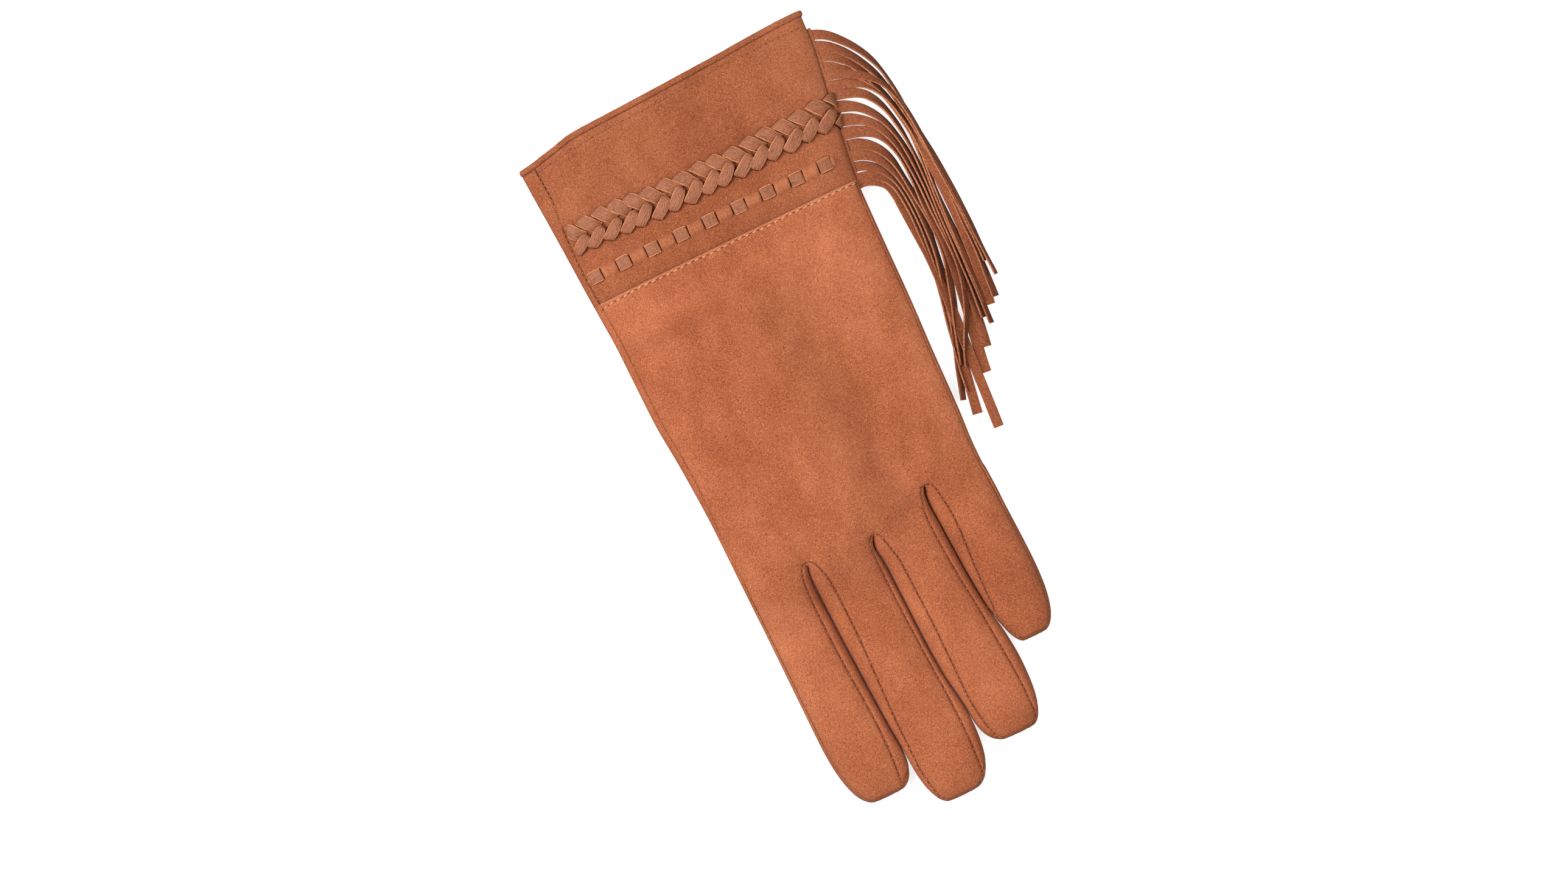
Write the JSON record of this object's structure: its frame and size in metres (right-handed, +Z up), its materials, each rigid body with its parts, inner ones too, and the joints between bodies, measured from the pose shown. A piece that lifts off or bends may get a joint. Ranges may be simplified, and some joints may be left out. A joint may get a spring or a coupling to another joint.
{
  "type": "fringed suede dress glove",
  "caption": "Left-hand suede dress glove lying palm down, with a plaited and laced cuff and a long side fringe, hollow from the cuff's mouth into every finger.",
  "frame": {"origin": "on the flat underside, under the middle of the wrist seam", "axes": "+Y from the fingertips to the hem, +X towards the little finger and the fringe, +Z up from the resting face to the back of the hand"},
  "size_m": [0.1268, 0.2536, 0.0192],
  "materials": {
    "suede": "rust-coloured suede with a fine matt nap",
    "fringe_suede": "the same suede cut in narrow strips, with raw edges",
    "grain_leather": "smooth brown leather with a fine pebble grain and a soft sheen",
    "thread": "pale tan sewing thread"
  },
  "bodies": {
    "root": {"hand_back_panel": "suede", "palm_panel": "suede", "fourchette_index_middle": "suede", "fourchette_middle_ring": "suede", "fourchette_ring_little": "suede", "thumb": "suede", "cuff_back": "suede", "cuff_palm": "suede", "hem_binding": "suede", "braid": "grain_leather", "running_lace": "grain_leather", "fringe": "fringe_suede"}
  },
  "joints": []
}
